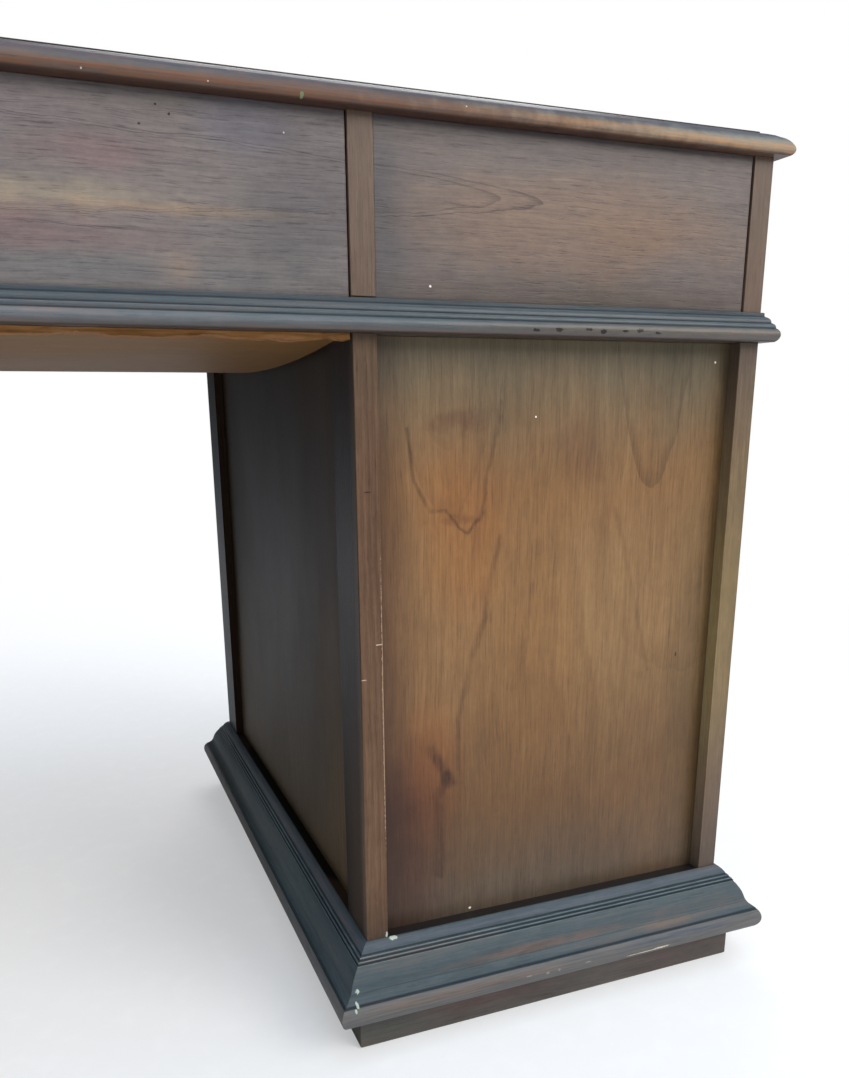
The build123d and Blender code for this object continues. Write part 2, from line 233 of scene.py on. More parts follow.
def lay_grain(f, axes, centre, frame_half=None, joints=()):
    """Distances along, across and into a board, in metres from its centre."""
    split = f.add("SeparateXYZ", f.place).outputs
    local = [f.math("SUBTRACT", split[i], centre[i]) for i in range(3)]
    along, across, depth = (local[AXES[a]] for a in axes)
    if frame_half:
        beyond_x = f.math("SUBTRACT", f.math("ABSOLUTE", local[0]), frame_half[0])
        beyond_y = f.math("SUBTRACT", f.math("ABSOLUTE", local[1]), frame_half[1])
        on_end = f.math("GREATER_THAN", beyond_x, beyond_y)
        along, depth = (
            f.add("Mix", on_end, None, *pair, data_type="FLOAT").outputs[0]
            for pair in ((local[0], local[1]), (local[1], local[0]))
        )
        across = local[2]
        shift = f.math("MULTIPLY", f.math("SIGN", depth), LENGTHS_APART)
        depth = f.math("ADD", depth, shift)
    for joint in joints:
        shift = f.math("MULTIPLY", f.math("GREATER_THAN", split[0], joint), BOARDS_APART)
        depth = f.math("ADD", depth, shift)
    return along, across, depth


print("grain can run along", ", ".join(AXES), "or round a frame")

# %% [markdown]
# ## Wood as a cut through a trunk
# A board's figure is where its face cuts the trunk's yearly rings. The ring number at a point
# is its distance from an axis that is tilted a little to the board, shaken by noise. Stretched
# noises add the fibres, wider streaks and the open pores. On this desk the stain hides most of
# that, so every part is kept faint: fibres first, rings only in patches.


# %% Fibres and rings
def draw_fibres(f, grain):
    """Fine fibres, wider streaks and short dark dashes. They waver slowly across the board."""
    waver = f.math("MULTIPLY", f.noise(f.stretch(grain, 7.0, 6.0, 6.0), 1.0, 2.0), 0.008)
    wavy = (grain[0], f.math("ADD", grain[1], waver), grain[2])
    fibre = f.noise(f.stretch(wavy, 22.0, 560.0, 560.0), 1.0, 4.0, 0.65)
    streak = f.noise(f.stretch(wavy, 3.0, 60.0, 60.0), 1.0, 4.0, 0.62)
    dashes = f.step(f.noise(f.stretch(wavy, 55.0, 900.0, 900.0), 1.0, 2.0, 0.6), 0.05, 0.20)
    return fibre, streak, dashes


def draw_rings(f, grain, pith, tilt, ring, shake):
    """Late wood lines, a `ring` apart, round an axis that starts `pith` deep and tilts."""
    along, across = grain[:2]
    slow = f.stretch(grain, 1.0, 4.0, 4.0)
    aside = f.math("MULTIPLY_ADD", f.noise(slow, 2.0, 3.0), shake, across)
    deep = f.math("MULTIPLY_ADD", along, tilt, pith)
    deep = f.math("MULTIPLY_ADD", f.noise(slow, 4.0, 4.0, 0.6), shake, deep)
    squares = f.math("ADD", f.math("MULTIPLY", aside, aside), f.math("MULTIPLY", deep, deep))
    rings = f.math("FRACT", f.math("DIVIDE", f.math("SQRT", squares), ring))
    late = f.math("MULTIPLY", f.step(rings, 0.2, 0.9), f.step(rings, 1.0, 0.9))
    patch = f.step(f.noise(slow, 3.3, 2.0), -0.12, 0.16)
    return f.math("MULTIPLY", late, patch)


print("fibres and rings can be drawn")

# %% [markdown]
# ## Figure at given places
# The finest marks of this veneer are single pointed arches and a few long dark lines, which
# chance would put elsewhere. An arch is a parabola: lines of equal distance from
# `along = tip + opening * across²` are nested arches, and a mask keeps the few near the tip. A
# dark line is the distance to a straight run between two points. Both are shaken by the
# same two noises, so that they waver together as grain does.


# %% Arches and dark lines
def draw_arch(f, shaken, tip, opening, spacing, reach):
    """Nested arches with their point at tip, open toward +along, or -along if opening < 0."""
    side = f.math("SUBTRACT", shaken[1], tip[1])
    rise = f.math("SUBTRACT", shaken[0], tip[0])
    toward = math.copysign(1.0, opening)
    level = f.math("MULTIPLY", rise, toward)
    level = f.math("MULTIPLY_ADD", f.math("MULTIPLY", side, side), -abs(opening), level)
    turns = f.math("FRACT", f.math("DIVIDE", level, spacing))
    line = f.math("MULTIPLY", f.step(turns, 0.45, 0.0), f.step(turns, -0.01, 0.03))
    inside = f.math("MULTIPLY", f.step(level, -0.0005, 0.0005), f.step(level, reach, reach * 0.2))
    aside = f.math("ABSOLUTE", f.math("DIVIDE", side, reach * 0.75))
    return f.math("MULTIPLY", line, f.math("MULTIPLY", inside, f.step(aside, 1.0, 0.3)))


def draw_line(f, shaken, points, width):
    """A soft dark line through (along, across) points: near to any of its straight runs."""
    nearest = None
    for (start_a, start_b), (end_a, end_b) in zip(points, points[1:]):
        run = (end_a - start_a, end_b - start_b)
        square = run[0] ** 2 + run[1] ** 2
        a, b = f.math("SUBTRACT", shaken[0], start_a), f.math("SUBTRACT", shaken[1], start_b)
        gone = f.math("MULTIPLY", a, run[0] / square)
        gone = f.math("MULTIPLY_ADD", b, run[1] / square, gone, clamp=True)
        off_a = f.math("MULTIPLY_ADD", gone, -run[0], a)
        off_b = f.math("MULTIPLY_ADD", gone, -run[1], b)
        squares = f.math("MULTIPLY_ADD", off_a, off_a, f.math("MULTIPLY", off_b, off_b))
        off = f.math("SQRT", squares)
        nearest = off if nearest is None else f.math("MINIMUM", nearest, off)
    return f.step(nearest, width, width * 0.1)


def draw_figure(f, grain, tone, arches, lines):
    """The tone with arches and lines darkened into it, all shaken by the same two waves."""
    wave = f.noise(f.stretch(grain, 30.0, 60.0, 60.0), 1.0, 4.0, 0.6)
    wide_wave = f.noise(f.stretch(grain, 8.0, 12.0, 12.0), 1.0, 2.0)
    wander = f.math("MULTIPLY_ADD", wide_wave, 0.02, f.math("MULTIPLY", wave, 0.012))
    shaken = [
        f.math("MULTIPLY_ADD", wander, 1.6, grain[0]),
        f.math("MULTIPLY_ADD", wander, 0.5, grain[1]),
    ]
    for tip, opening, spacing, reach, force in arches:
        arch = draw_arch(f, shaken, tip, opening, spacing, reach)
        tone = f.math("MULTIPLY_ADD", arch, -force, tone)
    for points, width, force in lines:
        line = draw_line(f, shaken, points, width)
        line = f.math("MULTIPLY", line, f.math("MULTIPLY_ADD", wave, 2.5, 0.8, clamp=True))
        tone = f.math("MULTIPLY_ADD", line, -force, tone)
    return tone


print("arches and dark lines can be placed")

# %% [markdown]
# ## Stain, wear, marks and painted light
# Over the figure come three things that the desk's years gave it. The stain is uneven, which is a
# tint that multiplies the colour over a wide soft area. The same tints also paint shade,
# highlights and sheen in some places, each named where it stands. Hands and feet rubbed the stain
# off noses and arrises, which mixes a bare colour in where the fibres stand proud. Chips and paint
# drips are small spots with ragged borders. Rounded arrises carry an attribute that says how far
# each face is one, so the wear follows the real edges of each board.


# %% Wood
EVEN_TONE = 0.5
TONE_STOPS = (0.08, EVEN_TONE, 0.92)  # where the dark, the body and the light colour stand
CHIPPED = (0.8, 420.0, 0.25)  # a mark's border: very ragged, very fine, quite hard
FIBRE_HEIGHT = 0.00006


def wood(
    name,
    axes,
    centre,
    tones,
    frame_half=None,
    joints=(),
    pith=0.05,
    tilt=0.06,
    ring=0.006,
    shake=0.02,
    ring_force=0.12,
    fibre_force=0.50,
    streak_force=0.18,
    dash_force=0.10,
    cloud_force=0.30,
    mottle_force=0.26,
    tints=(),
    late_tints=(),
    arches=(),
    lines=(),
    marks=(),
    worn=None,
    rubbed=(0.17, 0.095, 0.05),
    rubbed_share=0.5,
    rough=0.42,
    coat=0.05,
    gloss=0.3,
):
    """A stained wood. `axes` names what runs along, across and into the face.

    A tint is (spot, reach, colour, ragged, grit, soft), and a late tint lies over the worn
    band. A mark is (spot, reach, colour), an arch (tip, opening, spacing, reach, force), a
    line (points, width, force), and the worn band (height, height, share).
    """
    f = Finish(name)
    grain = lay_grain(f, axes, centre, frame_half, joints)
    fibre, streak, dashes = draw_fibres(f, grain)
    cloud = f.noise(f.stretch(grain, 3.0, 9.0, 9.0), 1.0, 3.0, 0.55)
    tone = f.math("MULTIPLY_ADD", fibre, fibre_force, EVEN_TONE)
    tone = f.math("MULTIPLY_ADD", streak, streak_force, tone)
    tone = f.math("MULTIPLY_ADD", cloud, cloud_force, tone)
    mottle = f.noise(f.stretch(grain, 70.0, 130.0, 130.0), 1.0, 5.0, 0.75)
    tone = f.math("MULTIPLY_ADD", mottle, mottle_force, tone)
    rings = draw_rings(f, grain, pith, tilt, ring, shake)
    tone = f.math("MULTIPLY_ADD", rings, -ring_force, tone)
    if arches or lines:
        tone = draw_figure(f, grain, tone, arches, lines)
    tone = f.math("MULTIPLY_ADD", dashes, -dash_force, tone, clamp=True)
    colour = f.ramp(tone, tuple(zip(TONE_STOPS, tones)))
    for spot, reach, tint, *how in tints:
        colour = f.mix(f.near(spot, reach, *how), colour, tint, "MULTIPLY")
    bare = f.math("MULTIPLY_ADD", fibre, 1.5, 0.6, clamp=True)
    if worn:
        low, high, share = worn
        height_here = f.add("SeparateXYZ", f.place).outputs[2]
        height_here = f.math("MULTIPLY_ADD", streak, (high - low) * 1.5, height_here)
        band = f.math("MULTIPLY", f.step(height_here, high, low), share)
        colour = f.mix(f.math("MULTIPLY", band, bare), colour, rubbed)
    for spot, reach, tint, *how in late_tints:
        colour = f.mix(f.near(spot, reach, *how), colour, tint, "MULTIPLY")
    arris = f.add("Attribute", attribute_name="arris").outputs["Fac"]
    rub = f.step(f.noise(f.place, 22.0, 4.0, 0.65), -0.05, 0.16)
    arris = f.math("MULTIPLY", f.math("MULTIPLY", arris, rub), rubbed_share)
    colour = f.mix(arris, colour, rubbed)
    for spot, reach, spot_colour in marks:
        colour = f.mix(f.near(spot, reach, *CHIPPED), colour, spot_colour)
    shine = f.math("MULTIPLY_ADD", cloud, 0.22, rough)
    shine = f.math("MULTIPLY_ADD", fibre, 0.12, shine)
    height = f.math("MULTIPLY_ADD", dashes, -1.0, f.math("MULTIPLY", fibre, 1.2))
    return f.finish(colour, shine, height, FIBRE_HEIGHT, coat=coat, gloss=gloss)


print("wood is ready to be cut")

# %% [markdown]
# ## The back panels
# The panel in the back of each pedestal is one thin sheet of figured veneer with its grain
# upright. Its middle is golden brown. It is darker toward the border, grey green above and grey
# violet below, and a warm patch stands to one side. The two pedestals' sheets are cut from the
# same flitch and turned over like the pages of a book, so one list of places serves both, with the
# sign of x changed. Places on the desk are in metres.

# %% Panels
HANDS = (("left", 1.0), ("right", -1.0))
GOLDEN = ((0.060, 0.026, 0.009), (0.198, 0.102, 0.038), (0.33, 0.190, 0.080))
WHITE_CHIP = (0.75, 0.70, 0.62)
NEARLY_BLACK = (0.015, 0.012, 0.012)
PANEL_FACE = 0.306  # how far behind the desk's middle the panels' faces are
HEART = ((-0.352, 0.530), (-0.359, 0.484), (-0.374, 0.455), (-0.387, 0.456), (-0.404, 0.444))
HEART += ((-0.416, 0.456), (-0.428, 0.498), (-0.436, 0.540))
DRIFT = ((-0.434, 0.440), (-0.423, 0.380), (-0.408, 0.332), (-0.399, 0.279), (-0.398, 0.238))
VEINS = [  # the points of each dark vein, its width and its force
    (HEART, 0.0026, 0.26),
    (DRIFT, 0.0040, 0.16),
    (((-0.472, 0.430), (-0.462, 0.356), (-0.453, 0.300)), 0.0060, 0.10),
    (((-0.545, 0.460), (-0.561, 0.408), (-0.574, 0.361), (-0.590, 0.305)), 0.0040, 0.10),
    (((-0.373, 0.256), (-0.384, 0.240), (-0.390, 0.226)), 0.0085, 0.30),
    (((-0.386, 0.236), (-0.378, 0.212), (-0.383, 0.165), (-0.379, 0.140)), 0.0065, 0.22),
]
finishes = {}


def middle(name):
    low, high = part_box(name)
    return (low + high) / 2


for hand, side in HANDS:
    node = hand + "_pedestal_back_panel"
    centre = middle(node)

    def at(x, z):
        return (side * x, PANEL_FACE, z)

    def figure(x, z):
        return (z - centre.z, side * x - centre.x)

    def figured(points):
        return [figure(*point) for point in points]

    finishes[node] = wood(
        node,
        "zxy",
        centre,
        GOLDEN,
        pith=0.09,
        tilt=0.05,
        ring=0.009,
        ring_force=0.07,
        tints=[
            (at(-0.49, 0.655), (0.60, 1.0, 0.185), (0.62, 0.98, 1.62), 0.22, 9.0, 0.62),
            (at(-0.49, 0.655), (0.60, 1.0, 0.300), (0.90, 0.84, 0.76), 0.22, 9.0, 0.62),
            (at(-0.44, 0.000), (0.60, 1.0, 0.220), (0.70, 1.16, 2.50), 0.22, 9.0, 0.80),
            (at(-0.42, 0.000), (0.60, 1.0, 0.390), (0.56, 0.50, 0.44), 0.22, 9.0, 0.62),
            (at(-0.304, 0.290), (0.070, 1.0, 0.60), (0.40, 0.34, 0.36), 0.22, 9.0, 0.75),
            (at(-0.668, 0.300), (0.080, 1.0, 0.50), (0.66, 0.74, 0.76), 0.30, 7.0, 0.9),
            (at(-0.400, 0.450), (0.060, 1.0, 0.11), (1.12, 0.96, 0.80), 0.5, 16.0, 0.9),
            (at(-0.470, 0.330), (0.090, 1.0, 0.20), (1.06, 1.02, 0.92), 0.4, 9.0, 0.95),
            (at(-0.345, 0.170), (0.065, 1.0, 0.17), (0.66, 0.54, 0.60), 0.3, 9.0, 0.9),
            (at(-0.600, 0.570), (0.070, 1.0, 0.05), (0.84, 0.86, 0.86), 0.4, 9.0, 0.9),
            (at(-0.370, 0.240), (0.045, 1.0, 0.11), (1.16, 0.92, 0.76), 0.4, 11.0, 0.9),
            (at(-0.560, 0.350), (0.110, 1.0, 0.20), (0.98, 1.03, 1.06), 0.4, 7.0, 0.9),
            (at(-0.512, 0.505), (0.030, 1.0, 0.045), (0.84, 0.78, 0.78), 0.5, 16.0, 0.8),
            (at(-0.404, 0.532), (0.040, 1.0, 0.014), (0.74, 0.66, 0.70), 0.9, 70.0, 0.9),
            (at(-0.400, 0.454), (0.030, 1.0, 0.006), (0.78, 0.70, 0.68), 0.9, 90.0, 0.9),
        ],
        arches=[
            (figure(-0.388, 0.452), 52.0, 0.055, 0.10, 0.08),
            (figure(-0.580, 0.476), 75.0, 0.062, 0.085, 0.17),
            (figure(-0.620, 0.300), 12.0, 0.070, 0.12, 0.06),
        ],
        lines=[(figured(points), width, force) for points, width, force in VEINS],
        marks=[
            (at(-0.641, 0.578), (0.0012, 0.01, 0.0012), WHITE_CHIP),
            (at(-0.466, 0.534), (0.0009, 0.01, 0.0009), WHITE_CHIP),
            (at(-0.410, 0.099), (0.0012, 0.01, 0.0012), WHITE_CHIP),
            (at(-0.620, 0.318), (0.0010, 0.01, 0.0022), (0.02, 0.015, 0.01)),
        ],
    )
    print(node, "cut round", [round(v, 3) for v in centre])

# %% [markdown]
# ## The back of the drawer case
# Three boards with their grain level. They took the stain greyer than the panels, almost
# violet at the ends, and one band of pale sapwood fades along the middle board. The outer
# boards each have a warm centre with one pointed arch.

# %% Drawer case boards
VIOLET = ((0.038, 0.028, 0.028), (0.146, 0.120, 0.112), (0.26, 0.21, 0.17))
SPECK = (0.45, 0.42, 0.38)
CASE_FACE = 0.3185  # and the faces of the drawer case's back boards
ALL = 30.0  # a reach that takes in the whole desk


def on_case(x, z):
    return (x, CASE_FACE, z)


centre = middle("frieze_back_boards")
outer = []
for side in (-1.0, 1.0):
    outer += [
        (on_case(0.500 * side, 0.676), (0.185, 1.0, 0.050), (1.32, 1.10, 0.88), 0.35, 14.0, 0.6),
        (on_case(0.500 * side, 0.660), (0.195, 1.0, 0.2), (0.74, 0.70, 0.68), 0.0, 9.0, 0.05),
        (on_case(0.545 * side, 0.672), (0.075, 1.0, 0.024), (1.08, 1.00, 0.92), 0.6, 18.0, 0.9),
        (on_case(0.500 * side, 0.600), (0.30, 1.0, 0.058), (0.62, 0.55, 0.44), 0.2, 9.0, 0.8),
        (on_case(0.500 * side, 0.742), (0.30, 1.0, 0.034), (0.80, 0.78, 0.80), 0.2, 9.0, 0.8),
        (on_case(0.330 * side, 0.670), (0.034, 1.0, 0.12), (0.72, 0.80, 0.88), 0.4, 9.0, 0.9),
    ]
finishes["frieze_back_boards"] = wood(
    "frieze_back_boards",
    "xzy",
    centre,
    VIOLET,
    joints=(-0.3155, 0.3155),
    pith=0.04,
    tilt=0.03,
    ring=0.007,
    ring_force=0.05,
    dash_force=0.17,
    mottle_force=0.42,
    tints=[
        *outer,
        (on_case(-0.20, 0.6685), (0.11, 1.0, 0.0055), (1.26, 1.14, 0.96), 0.6, 30.0, 0.9),
        (on_case(-0.03, 0.674), (0.210, 1.0, 0.013), (1.62, 1.58, 1.22), 0.5, 25.0, 0.95),
        (on_case(-0.06, 0.665), (0.180, 1.0, 0.012), (1.25, 1.12, 1.02), 0.5, 25.0, 0.95),
        (on_case(-0.05, 0.722), (0.130, 1.0, 0.028), (1.18, 1.14, 1.22), 0.5, 14.0, 0.9),
        (on_case(-0.235, 0.722), (0.050, 1.0, 0.030), (0.80, 0.86, 1.02), 0.5, 14.0, 0.9),
        (on_case(-0.14, 0.700), (0.060, 1.0, 0.018), (1.10, 0.92, 0.94), 0.6, 22.0, 0.9),
        (on_case(-0.09, 0.650), (0.120, 1.0, 0.016), (1.06, 0.90, 0.92), 0.6, 18.0, 0.9),
        (on_case(-0.12, 0.630), (0.160, 1.0, 0.020), (0.84, 0.94, 0.98), 0.6, 14.0, 0.9),
        (on_case(-0.188, 0.632), (0.022, 1.0, 0.018), (1.35, 1.15, 0.98), 0.5, 30.0, 0.9),
        (on_case(-0.255, 0.635), (0.085, 1.0, 0.070), (0.78, 0.84, 0.86), 0.5, 9.0, 0.9),
        (on_case(-0.285, 0.690), (0.075, 1.0, 0.080), (0.76, 0.76, 0.80), 0.5, 9.0, 0.9),
        # Painted shade: a band at the top of the boards under the top edging, and a thin band at
        # their foot where they meet the waist moulding.
        (on_case(0.0, 0.7405), (ALL, 1.0, 0.011), (0.60, 0.58, 0.58), 0.05, 9.0, 0.9),
        (on_case(0.0, 0.6170), (ALL, 1.0, 0.005), (0.66, 0.70, 0.74), 0.05, 9.0, 0.9),
    ],
    arches=[
        ((side * 0.461 - centre.x, 0.690 - centre.z), -side * 520.0, 0.034, 0.09, 0.27)
        for side in (-1.0, 1.0)
    ],
    marks=[
        (on_case(-0.179, 0.729), (0.0010, 0.01, 0.0008), NEARLY_BLACK),
        (on_case(-0.187, 0.724), (0.0009, 0.01, 0.0010), NEARLY_BLACK),
        (on_case(-0.168, 0.717), (0.0010, 0.01, 0.0007), NEARLY_BLACK),
        (on_case(-0.368, 0.628), (0.0009, 0.01, 0.0009), WHITE_CHIP),
        (on_case(-0.262, 0.720), (0.0005, 0.01, 0.0006), SPECK),
    ],
)
print("drawer case boards with", len(outer), "tints on the outer two")

# %% [markdown]
# ## Mouldings
# The mouldings are solid and straight in the grain, and their hollows kept the dark stain, whose
# blue grey cast is partly a painted sky sheen. Thin dark lines in their quirks and under their
# noses are painted shade, and light lines on the bead tops and along the waist's nose are painted
# highlights. The noses were rubbed to a warm brown, most of all under the top where sleeves slide
# along. The rubbing mixes in by height, and the streaks make its border uneven. A few drips of
# pale paint hang at the foot of the near corner. The plinths under the base mouldings are browner
# and duller, and nobody ever polished them.

# %% Top edging
# The dark stain of the mouldings, whose blue grey cast is partly a painted sky sheen.
INK = ((0.016, 0.022, 0.025), (0.054, 0.073, 0.081), (0.135, 0.098, 0.080))
FLECK = (0.42, 0.38, 0.34)
CASE_HALF = (0.674, 0.320)  # half the drawer case's length and depth


def all_round(z, half, tint, *how):
    """A tint in a level band that runs round the whole desk."""
    return ((0.0, 0.0, z), (ALL, ALL, half), tint, *how)


top_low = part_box("top_edging")[0]
finishes["top_edging"] = wood(
    "top_edging",
    "xyz",
    middle("top_edging"),
    INK,
    frame_half=CASE_HALF,
    worn=(top_low.z + 0.006, top_low.z + 0.012, 1.0),
    rubbed=(0.150, 0.058, 0.022),
    tints=[
        all_round(0.7590, 0.0025, (0.60, 0.36, 0.30), 0.0, 9.0, 0.3),
        all_round(0.7515, 0.0055, (1.15, 0.80, 0.80), 0.1, 40.0, 0.6),
    ],
    late_tints=[
        ((-0.72, 0.33, 0.744), (0.42, 0.03, 0.010), (2.3, 2.7, 2.4), 0.5, 70.0, 0.8),
        ((0.72, 0.33, 0.744), (0.42, 0.03, 0.010), (2.3, 2.7, 2.4), 0.5, 70.0, 0.8),
        # Painted shade: a dark band on the underside of the nose, and a thin dark line in the
        # crease under the top fillet.
        all_round(0.7378, 0.0018, (0.55, 0.50, 0.50), 0.0, 9.0, 0.6),
        all_round(0.7556, 0.0008, (0.62, 0.60, 0.60), 0.0, 9.0, 0.6),
    ],
    marks=[
        ((-0.272, 0.3310, 0.7400), (0.0015, 0.006, 0.0020), (0.15, 0.18, 0.09)),
        ((-0.135, 0.3316, 0.7405), (0.0006, 0.006, 0.0006), FLECK),
        ((-0.211, 0.3316, 0.7415), (0.0005, 0.006, 0.0005), FLECK),
        ((-0.391, 0.3316, 0.7450), (0.0006, 0.006, 0.0006), FLECK),
    ],
    streak_force=0.6,
    mottle_force=0.6,
    gloss=0.12,
    coat=0.03,
    rough=0.40,
)
print("top edging rubbed up to", round(top_low.z + 0.012, 4), "m")

# %% Waist moulding
WAIST_CHIPS = (-0.450, -0.470, -0.497, -0.510, -0.530, -0.544, -0.561)
finishes["waist_moulding"] = wood(
    "waist_moulding",
    "xyz",
    middle("waist_moulding"),
    INK,
    frame_half=CASE_HALF,
    worn=(0.5945, 0.6000, 0.85),
    rubbed=(0.130, 0.082, 0.060),
    tints=[
        # A painted highlight along the nose over most of its length.
        ((0.10, 0.0, 0.6005), (0.62, ALL, 0.0055), (1.95, 1.55, 1.50), 0.2, 12.0, 0.7),
        ((-0.58, 0.333, 0.6005), (0.26, 0.05, 0.0055), (1.55, 1.02, 0.78), 0.2, 12.0, 0.7),
        all_round(0.6125, 0.0075, (0.80, 0.78, 0.80), 0.0, 9.0, 0.2),
    ],
    late_tints=[
        # Painted shade in the three quirks, painted highlights along the two bead tops, and
        # painted shade along the lower edge.
        all_round(0.6049, 0.0008, (0.40, 0.42, 0.46), 0.0, 9.0, 0.5),
        all_round(0.6092, 0.0007, (0.40, 0.42, 0.46), 0.0, 9.0, 0.5),
        all_round(0.6150, 0.0007, (0.45, 0.46, 0.50), 0.0, 9.0, 0.5),
        all_round(0.6082, 0.0005, (1.6, 1.6, 1.55), 0.5, 70.0, 0.8),
        all_round(0.6136, 0.0005, (1.5, 1.5, 1.45), 0.5, 70.0, 0.8),
        all_round(0.5942, 0.0014, (0.50, 0.40, 0.36), 0.0, 9.0, 0.6),
    ],
    marks=[
        (
            (x, 0.3325, 0.5992 + 0.0008 * (i % 3 - 1)),
            (0.0034, 0.006, 0.0013 + 0.0006 * (i % 2)),
            (0.012, 0.009, 0.008),
        )
        for i, x in enumerate(WAIST_CHIPS)
    ],
    streak_force=0.6,
    gloss=0.25,
    coat=0.06,
    rough=0.42,
)
print("waist moulding with", len(WAIST_CHIPS), "chips")

# %% Base mouldings
PALE_PAINT = (0.38, 0.44, 0.36)
RAW_SPLIT = (0.62, 0.50, 0.38)
DULL_DENT = (0.22, 0.20, 0.18)


def frame_of(name):
    """A mitred frame's middle, and half its length and depth, where its mitres end."""
    low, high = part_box(name)
    return (low + high) / 2, tuple((high - low).xy / 2)


for hand, side in HANDS:
    node = hand + "_base_moulding"
    centre, half = frame_of(node)
    finishes[node] = wood(
        node,
        "xyz",
        centre,
        INK,
        frame_half=half,
        streak_force=0.75,
        worn=(0.0555, 0.0575, 0.95),
        rubbed=(0.154, 0.132, 0.120),
        tints=[
            ((side * -0.45, 0.345, 0.068), (0.13, 0.03, 0.006), (2.0, 1.15, 0.90), 0.5, 25.0, 0.9),
            ((side * -0.60, 0.345, 0.062), (0.06, 0.03, 0.004), (1.8, 1.20, 0.95), 0.5, 25.0, 0.9),
            # A painted sheen on the top slope.
            all_round(0.0935, 0.0035, (1.20, 1.10, 1.20), 0.2, 20.0, 0.7),
            # On the kneehole side: painted light toward the open back, and painted shade deeper
            # in.
            ((side * -0.26, 0.0, 0.066), (0.06, 0.30, ALL), (1.30, 1.40, 1.36), 0.1, 9.0, 0.5),
            ((side * -0.26, -0.30, 0.066), (0.06, 0.50, ALL), (0.14, 0.20, 0.18), 0.1, 9.0, 0.9),
        ],
        late_tints=[
            # Painted shade in the quirk above the nose and between the beads, and painted
            # highlights along the bead tops.
            all_round(0.0572, 0.0013, (0.34, 0.40, 0.46), 0.0, 9.0, 0.5),
            all_round(0.0842, 0.0009, (0.36, 0.40, 0.44), 0.0, 9.0, 0.5),
            all_round(0.0868, 0.0008, (0.36, 0.40, 0.44), 0.0, 9.0, 0.5),
            all_round(0.0896, 0.0009, (0.40, 0.42, 0.46), 0.0, 9.0, 0.5),
            all_round(0.0830, 0.0006, (1.8, 1.7, 1.6), 0.6, 60.0, 0.8),
            all_round(0.0858, 0.0005, (1.9, 1.8, 1.7), 0.6, 60.0, 0.8),
            all_round(0.0884, 0.0006, (1.8, 1.8, 1.8), 0.6, 60.0, 0.8),
            all_round(0.0640, 0.0006, (0.70, 0.72, 0.75), 0.4, 30.0, 0.8),
            ((side * -0.39, 0.353, 0.050), (0.14, 0.02, 0.005), (1.15, 0.95, 0.85), 0.5, 20, 0.8),
            ((side * -0.62, 0.353, 0.052), (0.10, 0.02, 0.005), (0.75, 0.85, 1.00), 0.5, 20, 0.8),
        ],
        marks=[
            ((side * -0.2885, 0.348, 0.0660), (0.0020, 0.010, 0.0034), PALE_PAINT),
            ((side * -0.2860, 0.350, 0.0580), (0.0014, 0.010, 0.0024), PALE_PAINT),
            ((side * -0.2840, 0.350, 0.0545), (0.0012, 0.010, 0.0018), PALE_PAINT),
            ((side * -0.3290, 0.322, 0.0965), (0.0040, 0.004, 0.0016), PALE_PAINT),
            ((side * -0.575, 0.3545, 0.0420), (0.026, 0.004, 0.0007), RAW_SPLIT),
            ((side * -0.590, 0.3545, 0.0432), (0.010, 0.004, 0.0008), RAW_SPLIT),
            ((side * -0.447, 0.3545, 0.0480), (0.0030, 0.004, 0.0007), DULL_DENT),
            ((side * -0.466, 0.3545, 0.0465), (0.0020, 0.004, 0.0012), DULL_DENT),
            ((side * -0.478, 0.3545, 0.0470), (0.0016, 0.004, 0.0014), (0.20, 0.18, 0.17)),
            ((side * -0.508, 0.3545, 0.0475), (0.0036, 0.004, 0.0006), DULL_DENT),
        ],
        gloss=0.15,
        coat=0.0,
        rough=0.50,
    )
    print(node, "mitred at", [round(v, 3) for v in half], "from its middle")

# %% Plinths
FOOT = ((0.028, 0.025, 0.023), (0.092, 0.080, 0.072), (0.160, 0.118, 0.098))

for hand, side in HANDS:
    node = hand + "_plinth"
    centre, half = frame_of(node)
    finishes[node] = wood(
        node,
        "xyz",
        centre,
        FOOT,
        frame_half=half,
        streak_force=0.45,
        cloud_force=0.45,
        tints=[
            ((side * -0.42, 0.333, 0.02), (0.10, 0.03, 0.014), (1.12, 0.92, 0.90), 0.5, 16.0, 0.9),
            ((side * -0.31, 0.333, 0.015), (0.08, 0.03, 0.02), (0.82, 0.92, 0.90), 0.5, 16.0, 0.9),
            ((side * -0.63, 0.333, 0.015), (0.10, 0.03, 0.03), (0.90, 0.84, 0.84), 0.5, 16.0, 0.9),
            # Painted shade in a band at the top, under the base moulding's nose.
            all_round(0.0350, 0.0035, (0.55, 0.55, 0.58), 0.0, 9.0, 0.8),
        ],
        gloss=0.16,
        coat=0.0,
        rough=0.55,
    )
print(len(finishes), "finishes so far")

# %% [markdown]
# ## Uprights, sides and bare wood
# The edges of the uprights are brown with a red cast. The kneehole's sides are less shiny and
# painted nearly black as shade, with a cool painted sheen low down and painted light toward the
# open back. The hidden rails are darkened all over as painted shade, and the drawer sides and thin
# sheets are bare wood that only darkened with age. The kneehole's uprights have both: a brown edge
# at the back and a face to the kneehole painted dark as shade, so a tint that is only a millimetre
# deep puts that painted shade on the face.

# %% Uprights
EDGE = ((0.032, 0.019, 0.012), (0.098, 0.061, 0.040), (0.18, 0.118, 0.078))
SCRATCH = (0.30, 0.20, 0.13)
NICK = (0.42, 0.33, 0.25)
SKIN = (0.0012, ALL, ALL)  # the reach of a tint that colours one face only
ORIGIN = (0, 0, 0)  # on the floor, under the desk's middle

